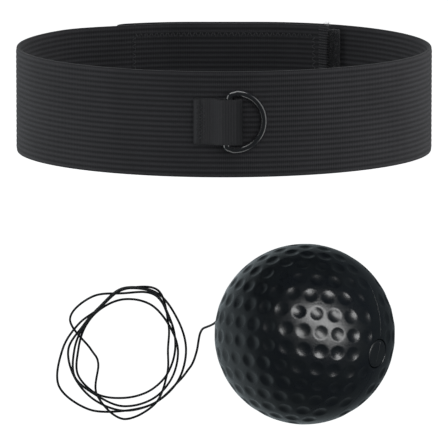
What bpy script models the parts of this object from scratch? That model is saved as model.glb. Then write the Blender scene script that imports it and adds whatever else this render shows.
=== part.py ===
"""Reflex ball headband: an elastic head loop with a sewn D-ring tab, and a foam ball on a loose elastic cord.

Metres, +Z up. The head loop lies on its back: its back touches the table at Z = 0, its front and the D-ring
face up (+Z), and the head goes through it along Y. The ball and the coiled cord lie on the table at -Y.
The origin is on the table, at the middle of the loop and the ball together.
"""

import math

import bmesh
import bpy
from mathutils import Vector

GAP = 0.0003                    # between neighbouring solids

# Head loop: a strip of ribbed elastic whose ends overlap at the back.
LOOP_HALF_LENGTH = 0.087        # outside, along X, which is front-to-side on the head
LOOP_HALF_HEIGHT = 0.075        # outside, along Z
LOOP_Y = 0.0619                 # middle of the strip's width
BACK_FLAT_HALF = 0.014          # half of the stretch that lies flat on the table
STRIP_HALF_WIDTH = 0.022
ELASTIC_THICKNESS = 0.0018
OVERLAP_HALF = 0.048            # each end of the strip runs this far past the middle of the back
STRIP_STEP = 0.0045
OUTLINE_SAMPLES = 360           # in half of the loop
NORMAL_REACH = 0.001            # each way, to read the outline's direction

# Hook-and-loop closure, between the two layers of the overlap.
TAPE_HALF_WIDTH = 0.020
HOOK_THICKNESS = 0.0010
LOOP_TAPE_THICKNESS = 0.0011
TAPE_SETBACK = 0.005            # from the strip's cut end to the tape
PILE_MARGIN = 0.006             # the pile shows this far past the inner end
LAYER_RAMP_START = 0.054        # where the strip starts to step out from under the overlap
LAYER_RAMP_LENGTH = 0.030
OVERLOCK_LENGTH = 0.004
OVERLOCK_THICKNESS = 0.0005
SEAM_INSET = 0.0015             # from a tape's edge to its seam
SEAM_CORNER = 0.002
SEAM_STEPS = 20
THREAD_RADIUS = 0.00025

# Webbing tab on the front of the loop, folded round the bar of the D-ring.
TAB_Y = LOOP_Y + 0.0018
TAB_HALF_WIDTH = 0.0094
WEBBING_THICKNESS = 0.0014
TAB_START = -0.0120             # distances along the front of the loop, from its middle
TAB_FOLD = -0.0065
TAB_RISE_START = -0.0056
HOLE_START = -0.0049
TAB_RISE_END = -0.0002
NOSE_CENTRE = 0.00425
TAB_SEAM = (-0.0106, -0.0078)
TAB_SEAM_INSET = 0.0020         # from the webbing's edges
TAB_SEAM_CORNER = 0.0006
BASE_STEPS = 3
TAB_STEPS = 9
NOSE_STEPS = 8

# D-ring: round wire, a straight bar and an arc that is most of a circle.
WIRE_RADIUS = 0.00145
ARC_RADIUS = 0.01175
BAR_TO_ARC_CENTRE = 0.0033
RING_CORNER = 0.0018
ARC_START = 0.0029              # from the bar to where the arc takes over from the corner
ARC_STEPS = 32
CORNER_STEPS = 4
LEAN_PASSES = 4
BAR_ALONG = 0.0015
RING_YAW = math.radians(4.0)
RING_Y = TAB_Y + 0.0001

# Foam ball, with a straight bore that ends in a plugged pocket.
BALL_RADIUS = 0.0385
BALL_CENTRE = Vector((0.0344, -0.0454, BALL_RADIUS))
BORE_AXIS = Vector((0.804, -0.115, 0.584)).normalized()
BORE_RADIUS = 0.0010
POCKET_RADIUS = 0.0063
POCKET_FLOOR = 0.0235           # heights along the bore, from the ball's centre
WASHER_RADIUS = 0.0050
WASHER_HOLE = 0.0009
WASHER_THICKNESS = 0.0012
KNOT_RADIUS = 0.0031
PLUG_RADIUS = 0.0060
BALL_STEPS = 44
SKIN_STEPS = 26
SMALL_STEPS = 20

# Cord.
CORD_RADIUS = 0.0005
COIL_CENTRE = (-0.0444, -0.0603)
COIL_OUTER = (0.0288, 0.0292)
HOLE_CENTRE = (-0.0396, -0.0591)
HOLE_SIZE = (0.0150, 0.0205)
COIL_HEIGHT = 0.0036
COIL_STEPS = 40
COIL_SIDES = 10
LEAD_STEP = 0.0027

# The lead's route: out of the bore, down beside the ball, and along the table to the coil.
LEAD_ROUTE = (
    (0.0032, -0.0409, 0.0158),
    (0.0016, -0.0407, 0.0147),
    (0.0003, -0.0412, 0.0136),
    (-0.0012, -0.0424, 0.0120),
    (-0.0027, -0.0443, 0.0099),
    (-0.0041, -0.0463, 0.0074),
    (-0.0057, -0.0477, 0.0048),
    (-0.0076, -0.0489, 0.0026),
    (-0.0091, -0.0498, 0.0013),
    (-0.0103, -0.0519, 0.0007),
    (-0.0110, -0.0552, 0.0006),
    (-0.0116, -0.0590, 0.0006),
    (-0.0128, -0.0632, 0.0006),
    (-0.0140, -0.0659, 0.0006),
    (-0.0153, -0.0677, 0.0006),
)


def clear_scene():
    for old in list(bpy.data.objects):
        bpy.data.objects.remove(old, do_unlink=True)


def make_material(name, color, roughness, metallic=0.0):
    material = bpy.data.materials.new(name)
    material.use_nodes = True
    shader = material.node_tree.nodes["Principled BSDF"]
    shader.inputs["Base Color"].default_value = (*color, 1.0)
    shader.inputs["Roughness"].default_value = roughness
    shader.inputs["Metallic"].default_value = metallic
    return material


def link(name, data, material, parent=None):
    data.materials.append(material)
    item = bpy.data.objects.new(name, data)
    item.parent = parent
    bpy.context.scene.collection.objects.link(item)
    return item


def solid(name, points, faces, material, parent=None, sharp=math.radians(35.0)):
    """Makes one closed mesh with its faces pointing out, smooth except where it turns more than sharp."""
    mesh = bpy.data.meshes.new(name)
    mesh.from_pydata([tuple(point) for point in points], [], faces)
    shape = bmesh.new()
    shape.from_mesh(mesh)
    bmesh.ops.recalc_face_normals(shape, faces=shape.faces[:])
    shape.to_mesh(mesh)
    shape.free()
    mesh.shade_smooth()
    mesh.set_sharp_from_angle(angle=sharp)
    return link(name, mesh, material, parent)


def pivot(name, location):
    """An empty on a joint's axis, which a moving piece hangs from."""
    empty = bpy.data.objects.new(name, None)
    empty.location = location
    bpy.context.scene.collection.objects.link(empty)
    return empty


def tube(name, points, radius, sides_level, material, closed=False, parent=None):
    """A round cord, thread or wire along a list of points."""
    curve = bpy.data.curves.new(name, "CURVE")
    curve.dimensions = "3D"
    curve.bevel_depth = radius
    curve.bevel_resolution = sides_level
    curve.use_fill_caps = not closed
    spline = curve.splines.new("POLY")
    spline.points.add(len(points) - 1)
    for control, point in zip(spline.points, points):
        control.co = (*point, 1.0)
    spline.use_cyclic_u = closed
    return link(name, curve, material, parent)


def spaced(start, end, steps):
    return [start + (end - start) * i / steps for i in range(steps + 1)]


def smooth_step(value):
    value = min(max(value, 0.0), 1.0)
    return value * value * (3.0 - 2.0 * value)


def smooth_route(points, step):
    """Reads points about one step apart from a Catmull-Rom curve through the route's own points."""
    route = [Vector(point) for point in points]
    route = [2.0 * route[0] - route[1], *route, 2.0 * route[-1] - route[-2]]
    result = []
    for before, start, end, after in zip(route, route[1:], route[2:], route[3:]):
        pieces = max(1, round((end - start).length / step))
        for i in range(pieces):
            t = i / pieces
            result.append(0.5 * (2.0 * start + (end - before) * t
                                 + (2.0 * before - 5.0 * start + 4.0 * end - after) * t * t
                                 + (3.0 * start - before - 3.0 * end + after) * t ** 3))
    result.append(route[-2])
    return result


def rounded_rectangle(low, high, corner, corner_steps, side_steps):
    """Points round a rectangle with round corners, anticlockwise, given two opposite (u, v) corners."""
    centres = ((high[0] - corner, high[1] - corner), (low[0] + corner, high[1] - corner),
               (low[0] + corner, low[1] + corner), (high[0] - corner, low[1] + corner))
    points = []
    for quarter, (u, v) in enumerate(centres):
        for i in range(corner_steps + 1):
            angle = math.radians(90.0) * (quarter + i / corner_steps)
            points.append((u + corner * math.cos(angle), v + corner * math.sin(angle)))
        following = centres[(quarter + 1) % 4]
        angle = math.radians(90.0) * (quarter + 1)
        stop = (following[0] + corner * math.cos(angle), following[1] + corner * math.sin(angle))
        start = points[-1]
        along_u = quarter % 2 == 0
        pieces = side_steps if along_u else 2
        for i in range(1, pieces):
            share = i / pieces
            points.append((start[0] + (stop[0] - start[0]) * share, start[1] + (stop[1] - start[1]) * share))
    return points


class LoopOutline:
    """The outside of the head loop in the XZ plane, by its length from the middle of the back towards -X."""

    def __init__(self):
        half = [(0.0, 0.0)]
        for i in range(OUTLINE_SAMPLES + 1):
            angle = math.pi * i / OUTLINE_SAMPLES
            flat = BACK_FLAT_HALF if angle < math.pi / 2 else 0.0
            x = flat + (LOOP_HALF_LENGTH - flat) * math.sin(angle)
            half.append((-x, LOOP_HALF_HEIGHT * (1.0 - math.cos(angle))))
        other = [(-x, z) for x, z in reversed(half[1:-1])]
        self.points = half + other + [half[0]]
        self.lengths = [0.0]
        for start, end in zip(self.points, self.points[1:]):
            self.lengths.append(self.lengths[-1] + math.dist(start, end))
        self.total = self.lengths[-1]

    def point(self, along):
        along = along % self.total
        low, high = 0, len(self.lengths) - 1
        while high - low > 1:
            middle = (low + high) // 2
            if self.lengths[middle] <= along:
                low = middle
            else:
                high = middle
        share = (along - self.lengths[low]) / (self.lengths[high] - self.lengths[low])
        start, end = self.points[low], self.points[high]
        return start[0] + (end[0] - start[0]) * share, start[1] + (end[1] - start[1]) * share

    def place(self, along, depth, y):
        """The point at this length along the loop and this depth in from its outside."""
        before = self.point(along - NORMAL_REACH)
        after = self.point(along + NORMAL_REACH)
        run = math.dist(before, after)
        out_x = -(after[1] - before[1]) / run
        out_z = (after[0] - before[0]) / run
        x, z = self.point(along)
        return Vector((x - out_x * depth, y, z - out_z * depth))


OUTLINE = LoopOutline()
FRONT = OUTLINE.total / 2.0
HOOK_DEPTH = ELASTIC_THICKNESS + LOOP_TAPE_THICKNESS + 2.0 * GAP
INNER_LAYER_DEPTH = HOOK_DEPTH + HOOK_THICKNESS + GAP


def layer_depth(along):
    """How far in the strip's outer face lies: the inner end is tucked under the outer one."""
    ramp = (along - LAYER_RAMP_START) / LAYER_RAMP_LENGTH
    return INNER_LAYER_DEPTH * (1.0 - smooth_step(ramp))


def strip(name, start, end, depth_at, thickness, half_width, material):
    """A flat strip that follows the loop from start to end."""
    count = max(2, round((end - start) / STRIP_STEP))
    points = []
    for i in range(count + 1):
        along = start + (end - start) * i / count
        outer = depth_at(along)
        for depth, side in ((outer, -1), (outer, 1), (outer + thickness, 1), (outer + thickness, -1)):
            points.append(OUTLINE.place(along, depth, LOOP_Y + side * half_width))
    faces = [(0, 1, 2, 3), tuple(4 * count + corner for corner in (3, 2, 1, 0))]
    for i in range(count):
        for corner in range(4):
            following = (corner + 1) % 4
            faces.append((4 * i + corner, 4 * i + 4 + corner, 4 * i + 4 + following, 4 * i + following))
    return solid(name, points, faces, material)


def patchwork(name, patches, y_range, to_xz, material, parent=None):
    """Extrudes a patchwork of quads, given in (along, height) pairs, along Y into one closed solid."""
    corners = {}
    flat_faces = []
    for patch in patches:
        keys = [(round(along, 7), round(height, 7)) for along, height in patch]
        flat_faces.append([corners.setdefault(key, len(corners)) for key in keys])
    count = len(corners)
    origin = parent.location if parent else Vector()
    points = []
    for y in y_range:
        points += [Vector((*to_xz(along, height), y)).xzy - origin for along, height in corners]
    directed = [edge for face in flat_faces for edge in zip(face, face[1:] + face[:1])]
    present = set(directed)
    rim = [(start, end) for start, end in directed if (end, start) not in present]
    faces = [tuple(face) for face in flat_faces]
    faces += [tuple(corner + count for corner in reversed(face)) for face in flat_faces]
    faces += [(end, start, start + count, end + count) for start, end in rim]
    return solid(name, points, faces, material, parent)


def on_loop(along, depth):
    point = OUTLINE.place(along, depth, 0.0)
    return point.x, point.z


def on_front(along, height):
    """The XZ place of a point on the front of the loop, this far towards +X and this high above it."""
    return on_loop(FRONT + along, -height)


def ladder(stations, low_at, high_at):
    """Quads side by side between two height functions."""
    patches = []
    for start, end in zip(stations, stations[1:]):
        patches.append(((start, low_at(start)), (end, low_at(end)),
                        (end, high_at(end)), (start, high_at(start))))
    return patches


def overlock(name, cut_end, inward, depth, material):
    """Thread bound over a cut end of the strip, as a U that laps both faces."""
    inner_reach = cut_end + inward * OVERLOCK_LENGTH
    inside = cut_end - inward * GAP
    outside = inside - inward * OVERLOCK_THICKNESS
    top = depth - GAP
    bottom = depth + ELASTIC_THICKNESS + GAP
    levels = (top - OVERLOCK_THICKNESS, top, bottom, bottom + OVERLOCK_THICKNESS)
    patches = [((outside, low), (inside, low), (inside, high), (outside, high))
               for low, high in zip(levels, levels[1:])]
    for low, high in (levels[:2], levels[2:]):
        patches.append(((inside, low), (inner_reach, low), (inner_reach, high), (inside, high)))
    if inward < 0:
        patches = [tuple(reversed(patch)) for patch in patches]
    y_range = (LOOP_Y - STRIP_HALF_WIDTH, LOOP_Y + STRIP_HALF_WIDTH)
    return patchwork(name, patches, y_range, on_loop, material)


def build_head_loop():
    elastic = make_material("ribbed_elastic", (0.021, 0.020, 0.023), 0.85)
    tape = make_material("closure_tape", (0.016, 0.016, 0.018), 0.9)
    thread = make_material("seam_thread", (0.012, 0.012, 0.014), 0.7)
    strip("elastic_band", -OVERLAP_HALF, OUTLINE.total + OVERLAP_HALF,
          layer_depth, ELASTIC_THICKNESS, STRIP_HALF_WIDTH, elastic)

    hook_start = TAPE_SETBACK - OVERLAP_HALF
    hook_end = OVERLAP_HALF - TAPE_SETBACK
    strip("hook_tape", hook_start, hook_end, lambda along: HOOK_DEPTH, HOOK_THICKNESS, TAPE_HALF_WIDTH, tape)
    pile_depth = ELASTIC_THICKNESS + GAP
    strip("loop_tape", -OVERLAP_HALF - PILE_MARGIN, OVERLAP_HALF - TAPE_SETBACK,
          lambda along: pile_depth, LOOP_TAPE_THICKNESS, TAPE_HALF_WIDTH, tape)

    overlock("inner_end_overlock", -OVERLAP_HALF, 1, INNER_LAYER_DEPTH, thread)
    overlock("outer_end_overlock", OUTLINE.total + OVERLAP_HALF, -1, 0.0, thread)

    seam_half_width = TAPE_HALF_WIDTH - SEAM_INSET
    seam = rounded_rectangle((hook_start + SEAM_INSET, -seam_half_width),
                             (hook_end - SEAM_INSET, seam_half_width), SEAM_CORNER, 3, SEAM_STEPS)
    seam_depth = INNER_LAYER_DEPTH + ELASTIC_THICKNESS + GAP + THREAD_RADIUS
    route = [OUTLINE.place(along, seam_depth, LOOP_Y + across) for along, across in seam]
    tube("hook_tape_stitching", route, THREAD_RADIUS, 1, thread, closed=True)


def build_tab():
    """The sewn-down end and the free loop of the tab. Returns the height of the D-ring's bar."""
    webbing = make_material("webbing", (0.028, 0.027, 0.031), 0.8)
    thread = make_material("tab_thread", (0.012, 0.012, 0.014), 0.7)
    bottom = GAP
    two_layers = bottom + 2.0 * WEBBING_THICKNESS
    hole_floor = bottom + WEBBING_THICKNESS
    bore_height = 2.0 * (WIRE_RADIUS + GAP)
    y_range = (TAB_Y - TAB_HALF_WIDTH, TAB_Y + TAB_HALF_WIDTH)

    stations = spaced(TAB_START, TAB_FOLD, BASE_STEPS)
    base = ladder(stations, lambda along: bottom, lambda along: two_layers)
    patchwork("tab_base", base, y_range, on_front, webbing)

    seam_half_width = TAB_HALF_WIDTH - TAB_SEAM_INSET
    seam = rounded_rectangle((TAB_SEAM[0], -seam_half_width), (TAB_SEAM[1], seam_half_width),
                             TAB_SEAM_CORNER, 2, 1)
    route = []
    for along, across in seam:
        x, z = on_front(along, two_layers + GAP + THREAD_RADIUS)
        route.append(Vector((x, TAB_Y + across, z)))
    tube("tab_stitching", route, THREAD_RADIUS, 1, thread, closed=True)

    def hole_top(along):
        rise = (along - TAB_RISE_START) / (TAB_RISE_END - TAB_RISE_START)
        return hole_floor + bore_height * smooth_step(rise)

    def outer_top(along):
        return hole_top(along) + WEBBING_THICKNESS

    hinge_x, hinge_z = on_front(TAB_FOLD + GAP / 2.0, two_layers)
    hinge = pivot("tab_pivot", (hinge_x, TAB_Y, hinge_z))
    loop_start = TAB_FOLD + GAP
    middle_stations = spaced(HOLE_START, NOSE_CENTRE, TAB_STEPS)
    patches = [((loop_start, bottom), (HOLE_START, bottom),
                (HOLE_START, hole_floor), (loop_start, hole_floor)),
               ((loop_start, hole_floor), (HOLE_START, hole_floor),
                (HOLE_START, hole_top(HOLE_START)), (loop_start, two_layers)),
               ((loop_start, two_layers), (HOLE_START, hole_top(HOLE_START)),
                (HOLE_START, outer_top(HOLE_START)))]
    patches += ladder(middle_stations, lambda along: bottom, lambda along: hole_floor)
    patches += ladder(middle_stations, hole_top, outer_top)
    nose_height = hole_floor + bore_height / 2.0
    radii = (bore_height / 2.0, bore_height / 2.0 + WEBBING_THICKNESS)
    for i in range(NOSE_STEPS):
        angles = [math.pi * (share / NOSE_STEPS - 0.5) for share in (i, i + 1)]
        ring = [[(NOSE_CENTRE + radius * math.cos(angle), nose_height + radius * math.sin(angle))
                 for radius in radii] for angle in angles]
        patches.append((ring[0][0], ring[0][1], ring[1][1], ring[1][0]))
    patchwork("tab_loop", patches, y_range, on_front, webbing, hinge)
    return hole_floor + bore_height / 2.0


def build_d_ring(bar_height):
    """The ring hangs from its bar and leans down until its arc rests on the elastic."""
    enamel = make_material("black_enamel", (0.010, 0.010, 0.012), 0.22)
    x, z = on_front(BAR_ALONG, bar_height)
    depth = BAR_TO_ARC_CENTRE + ARC_RADIUS
    lean = 0.0
    for _ in range(LEAN_PASSES):
        rest_z = on_front(x + depth * math.cos(lean), GAP + WIRE_RADIUS)[1]
        lean = math.asin((z - rest_z) / depth)

    widest = math.acos((ARC_START - BAR_TO_ARC_CENTRE) / ARC_RADIUS)
    route = []
    for i in range(ARC_STEPS + 1):
        angle = widest * (1.0 - 2.0 * i / ARC_STEPS)
        route.append((BAR_TO_ARC_CENTRE + ARC_RADIUS * math.cos(angle), ARC_RADIUS * math.sin(angle), 0.0))
    half_bar = math.sqrt(ARC_RADIUS ** 2 - BAR_TO_ARC_CENTRE ** 2)
    corner = []
    for i in range(CORNER_STEPS + 1):
        angle = math.radians(90.0) * i / CORNER_STEPS
        corner.append((RING_CORNER * (1.0 - math.sin(angle)),
                       half_bar - RING_CORNER * (1.0 - math.cos(angle)), 0.0))
    route += [(along, -across, height) for along, across, height in corner]
    route += reversed(corner)
    ring = tube("d_ring", route, WIRE_RADIUS, 4, enamel, closed=True)
    ring.location = (x, RING_Y, z)
    ring.rotation_euler = (0.0, lean, -RING_YAW)


def turned(name, profile, steps, material, closed=False, parent=None):
    """Turns a profile of (radius, height) pairs about the local Z axis into one closed solid."""
    points = []
    rings = []
    for radius, height in profile:
        count = 1 if radius == 0.0 else steps
        rings.append([len(points) + i for i in range(count)])
        for i in range(count):
            angle = 2.0 * math.pi * i / steps
            points.append((radius * math.cos(angle), radius * math.sin(angle), height))
    faces = []
    following_rings = rings[1:] + rings[:1] if closed else rings[1:]
    for ring, following in zip(rings, following_rings):
        for i in range(steps):
            j = (i + 1) % steps
            corners = (ring[i % len(ring)], ring[j % len(ring)],
                       following[j % len(following)], following[i % len(following)])
            faces.append(tuple(dict.fromkeys(corners)))
    return solid(name, points, faces, material, parent)


def sphere_arc(radius, start_radius, end_radius, steps, end_below):
    """Profile points on a sphere, from one distance off the axis to another."""
    start = math.asin(start_radius / radius)
    end = math.pi - math.asin(end_radius / radius) if end_below else math.asin(end_radius / radius)
    angles = [start + (end - start) * i / steps for i in range(steps + 1)]
    return [(max(radius * math.sin(angle), 0.0), radius * math.cos(angle)) for angle in angles]


def build_ball():
    foam = make_material("ball_skin", (0.012, 0.015, 0.017), 0.42)
    plug = make_material("ball_plug", (0.012, 0.015, 0.017), 0.5)
    nylon = make_material("washer_nylon", (0.55, 0.55, 0.53), 0.5)
    cord = make_material("cord_cover", (0.016, 0.016, 0.018), 0.8)

    centre = pivot("ball_pivot", BALL_CENTRE)
    centre.rotation_mode = "QUATERNION"
    centre.rotation_quaternion = BORE_AXIS.to_track_quat("Z", "Y")

    skin = sphere_arc(BALL_RADIUS, POCKET_RADIUS, BORE_RADIUS, SKIN_STEPS, True)
    pocket = [(BORE_RADIUS, POCKET_FLOOR), (POCKET_RADIUS, POCKET_FLOOR)]
    turned("ball", skin + pocket, BALL_STEPS, foam, True, centre)

    washer_low = POCKET_FLOOR + GAP
    washer_high = washer_low + WASHER_THICKNESS
    turned("knot_washer", [(WASHER_HOLE, washer_low), (WASHER_RADIUS, washer_low),
                           (WASHER_RADIUS, washer_high), (WASHER_HOLE, washer_high)],
           SMALL_STEPS, nylon, True, centre)
    knot_centre = washer_high + 2.0 * GAP + KNOT_RADIUS
    knot = [(radius, knot_centre + height) for radius, height in sphere_arc(KNOT_RADIUS, 0.0, 0.0, 8, True)]
    knot = [(0.0, knot[0][1])] + knot[1:-1] + [(0.0, knot[-1][1])]
    turned("cord_knot", knot, SMALL_STEPS, cord, False, centre)

    cord_top = knot_centre - KNOT_RADIUS - GAP
    cord_bottom = GAP / 2.0 - BALL_RADIUS
    turned("cord_in_ball", [(0.0, cord_top), (CORD_RADIUS, cord_top),
                            (CORD_RADIUS, cord_bottom), (0.0, cord_bottom)], 8, cord, False, centre)

    plug_floor = knot_centre + KNOT_RADIUS + GAP
    dome = sphere_arc(BALL_RADIUS, 0.0, PLUG_RADIUS, 4, False)
    turned("ball_plug", dome + [(PLUG_RADIUS, plug_floor), (0.0, plug_floor)],
           SMALL_STEPS, plug, False, centre)


def build_cord():
    """The free cord: a tube from the ball to the coil, and one ring-shaped solid for the coil's turns."""
    cord = make_material("cord_cover_free", (0.016, 0.016, 0.018), 0.8)
    tube("cord_lead", smooth_route(LEAD_ROUTE, LEAD_STEP), CORD_RADIUS, 2, cord)

    points = []
    for i in range(COIL_STEPS):
        angle = 2.0 * math.pi * i / COIL_STEPS
        outer = Vector((COIL_CENTRE[0] + COIL_OUTER[0] * math.cos(angle),
                        COIL_CENTRE[1] + COIL_OUTER[1] * math.sin(angle)))
        inner = Vector((HOLE_CENTRE[0] + HOLE_SIZE[0] * math.cos(angle),
                        HOLE_CENTRE[1] + HOLE_SIZE[1] * math.sin(angle)))
        for k in range(COIL_SIDES):
            section = 2.0 * math.pi * k / COIL_SIDES
            middle = (outer + inner) / 2.0 + (outer - inner) / 2.0 * math.cos(section)
            points.append((middle.x, middle.y, COIL_HEIGHT / 2.0 * (1.0 + math.sin(section))))
    faces = []
    for i in range(COIL_STEPS):
        ring = i * COIL_SIDES
        next_ring = (i + 1) % COIL_STEPS * COIL_SIDES
        for k in range(COIL_SIDES):
            after = (k + 1) % COIL_SIDES
            faces.append((ring + k, next_ring + k, next_ring + after, ring + after))
    solid("cord_coil", points, faces, cord, sharp=math.radians(60.0))


clear_scene()
build_head_loop()
build_d_ring(build_tab())
build_ball()
build_cord()
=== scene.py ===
"""Looks for the reflex ball headband: the woven head loop with its tab and D-ring, and the ball on its cord.

Metres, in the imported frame: +Z up, the loop on its back at +Y, the ball and the coiled cord at -Y.
Sizes that part.py also holds are repeated at the top, because the solids can't tell them.
"""

import math

import bmesh
import bpy
import numpy as np
from mathutils import Matrix, Vector


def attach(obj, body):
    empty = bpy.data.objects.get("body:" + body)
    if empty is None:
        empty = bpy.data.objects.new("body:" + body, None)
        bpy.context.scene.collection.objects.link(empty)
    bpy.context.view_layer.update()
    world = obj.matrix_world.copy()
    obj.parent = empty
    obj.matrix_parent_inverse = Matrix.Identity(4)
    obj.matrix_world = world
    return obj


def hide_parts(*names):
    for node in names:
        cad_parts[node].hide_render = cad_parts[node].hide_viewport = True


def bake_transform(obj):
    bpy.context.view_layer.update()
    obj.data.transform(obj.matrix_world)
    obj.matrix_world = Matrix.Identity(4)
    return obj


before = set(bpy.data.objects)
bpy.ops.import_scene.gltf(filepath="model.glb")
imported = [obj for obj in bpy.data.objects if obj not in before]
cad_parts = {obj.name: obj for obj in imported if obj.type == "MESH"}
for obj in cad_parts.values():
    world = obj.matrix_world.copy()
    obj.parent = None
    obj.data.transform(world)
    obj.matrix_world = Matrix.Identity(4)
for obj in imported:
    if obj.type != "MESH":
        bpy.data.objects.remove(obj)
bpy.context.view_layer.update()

GAP = 0.0003
MM = 0.001
TURN = 2.0 * math.pi
SHARP_ANGLE = math.radians(50.0)

# Head loop, as in part.py.
LOOP_HALF_LENGTH = 0.087
LOOP_HALF_HEIGHT = 0.075
LOOP_Y = 0.0619
BACK_FLAT_HALF = 0.014
STRIP_HALF_WIDTH = 0.022
ELASTIC_THICKNESS = 0.0018
OVERLAP_HALF = 0.048
OUTLINE_SAMPLES = 360
NORMAL_REACH = 0.001
HOOK_THICKNESS = 0.0010
LOOP_TAPE_THICKNESS = 0.0011
TAPE_HALF_WIDTH = 0.020
TAPE_SETBACK = 0.005

# Head loop, shaped a little further than in part.py.
PILE_MARGIN = 0.0045  # the pile shows this far past the inner end
LAYER_RAMP_START = 0.0455  # where the inner layer starts to come out to the loop's outline
LAYER_RAMP_LENGTH = 0.032
END_CURL = 0.0022  # the outer end curls in past the tapes

# Woven elastic.
RIB_COUNT = 20
RIB_SAMPLES = 6
RIB_DEPTH = 0.00020
SELVEDGE = 0.0011
SELVEDGE_EDGE = ((0.0002, 0.00034), (0.00045, 0.00020), (0.0008, 0.00018))  # (in from the edge, sunk)
STRIP_STEP = 0.0020
RIB_PITCH = 2.0 * (STRIP_HALF_WIDTH - SELVEDGE) / RIB_COUNT
ELASTIC_WEFT_PITCH = 0.00085

# Tapes.
TAPE_COLUMNS = 41
TAPE_EDGE = 0.0003
TAPE_RIPPLE = 0.00004
HOOK_STATIONS = 70
PILE_STATIONS = 76
FUZZ_LOOPS = 700
FUZZ_RADIUS = 0.00009
FUZZ_SPAN = (0.0005, 0.0012)
FUZZ_HEIGHT = (0.0004, 0.0010)

# Thread.
THREAD_RADIUS = 0.00020
THREAD_SIDES = 6
TUBE_END = ((0.5, 0.35), (0.25, 0.75))  # a dome: shares of the radius past the end and across
STITCH_SAMPLES = 8
STITCH_RISE = 0.75 * THREAD_RADIUS
STITCH_DIP = 0.00055
SEAM_INSET = 0.0015
ZIGZAG_STEP = 0.0013
ZIGZAG_WIDTH = 0.0025
ZIGZAG_INSET = 0.0028
HOOK_SEAM_SUNK = 0.7 * THREAD_RADIUS
PILE_SEAM_SUNK = 1.75 * THREAD_RADIUS
OVERLOCK_PITCH = 0.0011
OVERLOCK_REACH = 0.0038
OVERLOCK_OUT = 0.8 * THREAD_RADIUS
OVERLOCK_SUNK = 0.1 * THREAD_RADIUS
OVERLOCK_MARGIN = 0.0006
OVERLOCK_STEP = 0.0006
FRAY_ENDS = 14
FRAY_RADIUS = 0.00006
FRAY_REACH = (0.0008, 0.0024)
FRAY_SWAY = 0.0009

# Webbing tab, as in part.py.
TAB_Y = LOOP_Y + 0.0018
TAB_HALF_WIDTH = 0.0094
WEBBING_THICKNESS = 0.0014
TAB_START = -0.0120
TAB_FOLD = -0.0065
TAB_RISE_START = -0.0056
TAB_RISE_END = -0.0002
NOSE_CENTRE = 0.00425

# Webbing tab, its looks.
WEBBING_CLOTH = 0.00135  # a little under the stack's share, so the two layers stay apart
TAB_FOLD_LENGTH = 0.004
TAB_SEAM = (-0.0106, -0.0078)
TAB_SEAM_INSET = 0.0018
TAB_SEAM_HOLES = 8
TAB_ZIGZAG_HOLES = 13
TAB_BEND = (TAB_SEAM[1] + 0.0003, TAB_RISE_START + 0.0006)
LAYER_SAMPLES = 110
NOSE_SAMPLES = 48
FOLD_SAMPLES = 20
FACE_COLUMNS = 17
EDGE_SAMPLES = 7
EDGE_RADIUS = 0.00055
WEFT_PITCH = 0.00105
WEFT_HEIGHT = 0.000025

# D-ring, as in part.py.
WIRE_RADIUS = 0.00145
ARC_RADIUS = 0.01175
BAR_TO_ARC_CENTRE = 0.0033
RING_CORNER = 0.0018
ARC_START = 0.0029
BAR_ALONG = 0.0015
RING_YAW = math.radians(4.0)
RING_Y = TAB_Y + 0.0001
LEAN_PASSES = 4

# D-ring, its mesh.
WIRE_SIDES = 28
ARC_SAMPLES = 97
CORNER_SAMPLES = 13
BAR_SAMPLES = 15

# Ball, as in part.py.
BALL_RADIUS = 0.0385
BALL_CENTRE = np.array((0.0344, -0.0454, BALL_RADIUS))
BORE_AXIS = np.array(Vector((0.804, -0.115, 0.584)).normalized())
BORE_RADIUS = 0.0010
POCKET_RADIUS = 0.0063
POCKET_FLOOR = 0.0235
PLUG_RADIUS = 0.0060
PLUG_FLOOR = 0.0318

# Ball, its mesh.
BALL_COLUMNS = 420
BALL_ROWS = 212
PLUG_COLUMNS = 96
PLUG_ROWS = 11

# Dimples: rows of them round one axis, each row with the number that fits and its own turn.
DIMPLE_AXIS = np.array(Vector((0.114, 0.988, -0.111)).normalized())
ROW_PITCH = math.radians(11.8)
DIMPLES_PER_TURN = 32.0
ROW_TURNS = (46.3, 49.9, 42.4, 51.2, 47.0, 40.0, 30.0)
ROW_TURNS_BELOW = (45.0, 46.0, 42.0, 55.9, 49.0, 35.0, 60.0)
DIMPLE_RADIUS = math.radians(4.55)
DIMPLE_DEPTH = 0.00075
DIMPLE_POWER = 1.1  # 1 is a round dish; more gives it a softer rim
MOULD_NORMAL = np.array(Vector((-0.557, 0.196, 0.807)).normalized())
MOULD_BAND = math.radians(5.0)
MOULD_LINE_RADIUS = 0.00013
MOULD_LINE_SUNK = 0.00007
MOULD_LINE_STEPS = 130
PLUG_LINE_STEPS = 16

# Cord. Its radius and the lead's route are part.py's. The turns follow from their radii.
CORD_RADIUS = 0.0005
CORD_SIDES = 10
CORD_STEP = 0.0010
HUMP_REACH = 0.009  # a strand that passes over others comes down again within this length
HUMP_RISE = 0.004
CROSSING_PASSES = 40
LEAD_ROUTE = (
    (0.0032, -0.0409, 0.0158),
    (0.0016, -0.0407, 0.0147),
    (0.0003, -0.0412, 0.0136),
    (-0.0012, -0.0424, 0.0120),
    (-0.0027, -0.0443, 0.0099),
    (-0.0041, -0.0463, 0.0074),
    (-0.0057, -0.0477, 0.0048),
    (-0.0076, -0.0489, 0.0026),
    (-0.0091, -0.0498, 0.0013),
    (-0.0103, -0.0519, 0.0007),
    (-0.0110, -0.0552, 0.0006),
    (-0.0116, -0.0590, 0.0006),
    (-0.0128, -0.0632, 0.0006),
    (-0.0140, -0.0659, 0.0006),
    (-0.0153, -0.0677, 0.0006),
)
COIL_CENTRE = (-0.0435, -0.0590)
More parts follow.
